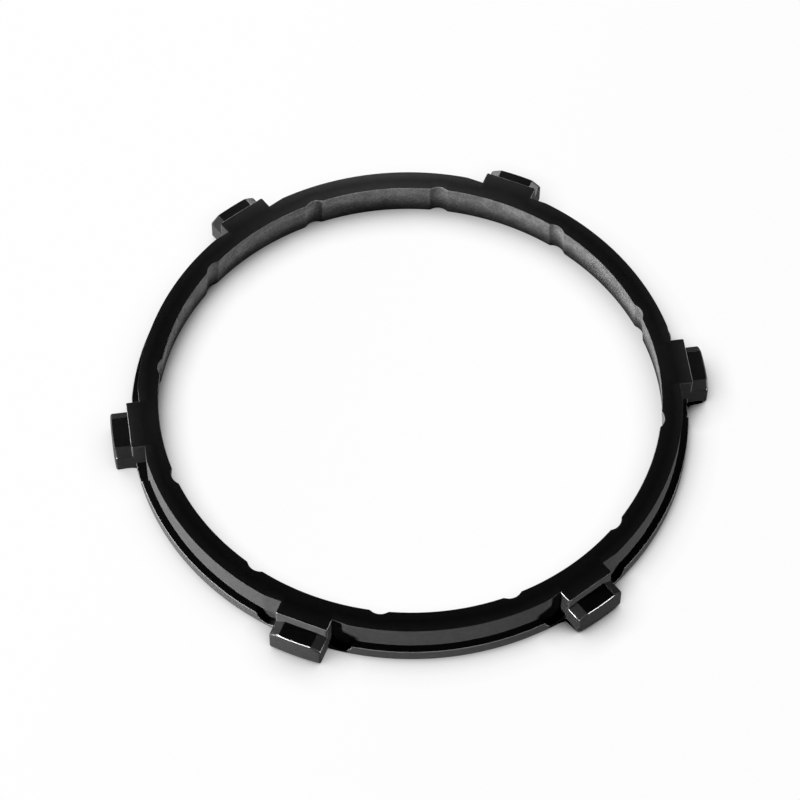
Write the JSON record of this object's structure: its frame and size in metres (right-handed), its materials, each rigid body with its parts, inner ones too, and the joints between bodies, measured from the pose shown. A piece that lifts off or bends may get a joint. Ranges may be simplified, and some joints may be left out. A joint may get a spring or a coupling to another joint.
{
  "type": "synchronizer ring",
  "caption": "Flat blackened steel gearbox ring with a tapered friction bore, round oil grooves, a stepped rim with a thin flange, and stepped outer lugs with blocking chamfers.",
  "frame": {"origin": "on the ring's axis, in the base plane that it rests on", "axes": "+Z along the ring's axis from the wide end of the friction cone to the narrow end, +X through the middle of a lug"},
  "size_m": [0.1912, 0.1784, 0.0132],
  "materials": {
    "blackened_steel": "blackened and oiled, satin; the friction cone is matte grey"
  },
  "bodies": {
    "root": {"synchronizer_ring": "blackened_steel"}
  },
  "joints": []
}
